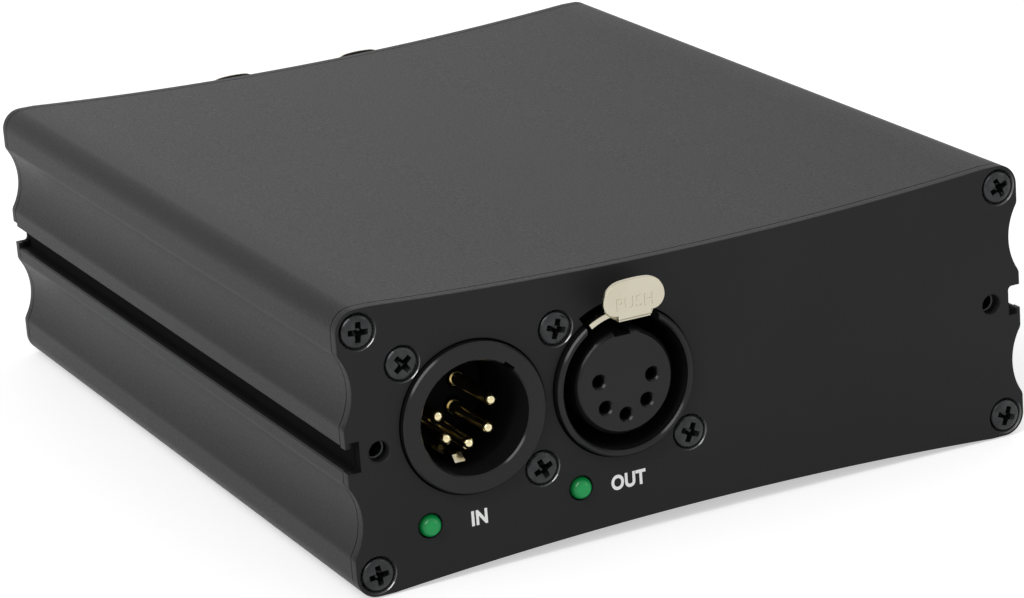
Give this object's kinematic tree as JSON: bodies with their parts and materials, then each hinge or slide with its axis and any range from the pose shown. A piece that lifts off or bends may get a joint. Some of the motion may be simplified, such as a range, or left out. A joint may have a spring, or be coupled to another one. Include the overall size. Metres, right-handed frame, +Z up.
{
  "type": "dmx control interface",
  "caption": "Lighting control interface: extruded black aluminium case in two halves, end panels with 5-pole input and latching outputs, green indicator lamps and a USB inlet.",
  "frame": {"origin": "centre of the footprint, on the plane of the feet", "axes": "+Y from the front panel to the rear panel, +Z up, +X to the right seen from the front"},
  "size_m": [0.112, 0.1466, 0.0428],
  "materials": {
    "black_anodised": "satin black anodised",
    "black_plastic": "fine moulded black",
    "black_screw": "blackened steel",
    "nickel": "nickel plated",
    "gold": "gold plated",
    "steel": "bright tinned",
    "green_lens": "translucent green",
    "board_laminate": "solder mask",
    "chip": "moulded black"
  },
  "bodies": {
    "case": {"circuit_board": "board_laminate", "front_bottom_left_screw": "black_screw", "front_bottom_right_screw": "black_screw", "front_output_contact_1": "gold", "front_output_contact_2": "gold", "front_output_contact_3": "gold", "front_output_contact_4": "gold", "front_output_contact_5": "gold", "front_output_housing": "black_plastic", "front_output_insert": "black_plastic", "front_output_lamp": "green_lens", "front_output_latch_spring": "nickel", "front_output_line_driver": "chip", "front_output_lower_screw": "black_screw", "front_output_upper_screw": "black_screw", "front_panel": "black_anodised", "front_top_left_screw": "black_screw", "front_top_right_screw": "black_screw", "input_carrier": "black_plastic", "input_earth_contact": "nickel", "input_housing": "black_plastic", "input_lamp": "green_lens", "input_line_receiver": "chip", "input_lower_screw": "black_screw", "input_pin_1": "gold", "input_pin_2": "gold", "input_pin_3": "gold", "input_pin_4": "gold", "input_pin_5": "gold", "input_upper_screw": "black_screw", "lower_shell": "black_anodised", "processor": "chip", "rear_bottom_left_screw": "black_screw", "rear_bottom_right_screw": "black_screw", "rear_output_1_housing": "black_plastic", "rear_output_1_insert": "black_plastic", "rear_output_1_lamp": "green_lens", "rear_output_1_latch_spring": "nickel", "rear_output_1_line_driver": "chip", "rear_output_1_lower_screw": "black_screw", "rear_output_1_upper_screw": "black_screw", "rear_output_2_housing": "black_plastic", "rear_output_2_insert": "black_plastic", "rear_output_2_lamp": "green_lens", "rear_output_2_latch_spring": "nickel", "rear_output_2_line_driver": "chip", "rear_output_2_lower_screw": "black_screw", "rear_output_2_upper_screw": "black_screw", "rear_panel": "black_anodised", "rear_top_left_screw": "black_screw", "rear_top_right_screw": "black_screw", "upper_shell": "black_anodised", "usb_carrier": "black_plastic", "usb_shell": "steel"},
    "front_output_lever": {"front_output_latch": "nickel"},
    "rear_output_1_lever": {"rear_output_1_latch": "nickel"},
    "rear_output_2_lever": {"rear_output_2_latch": "nickel"}
  },
  "joints": [
    {"name": "front_output_latch_press", "type": "hinge", "parent": "case", "child": "front_output_lever", "pos_m": [-0.01205, -0.06105, 0.02953], "axis": [-1, 0, 0], "range_deg": [0, 9], "stiffness_Nm_per_rad": 0.4, "springref_deg": -5.73, "deforming": ["front_output_latch_spring"]},
    {"name": "rear_output_1_latch_press", "type": "hinge", "parent": "case", "child": "rear_output_1_lever", "pos_m": [0.01205, 0.06105, 0.02953], "axis": [1, 0, 0], "range_deg": [0, 9], "stiffness_Nm_per_rad": 0.4, "springref_deg": -5.73, "deforming": ["rear_output_1_latch_spring"]},
    {"name": "rear_output_2_latch_press", "type": "hinge", "parent": "case", "child": "rear_output_2_lever", "pos_m": [-0.01205, 0.06105, 0.02953], "axis": [1, 0, 0], "range_deg": [0, 9], "stiffness_Nm_per_rad": 0.4, "springref_deg": -5.73, "deforming": ["rear_output_2_latch_spring"]}
  ]
}
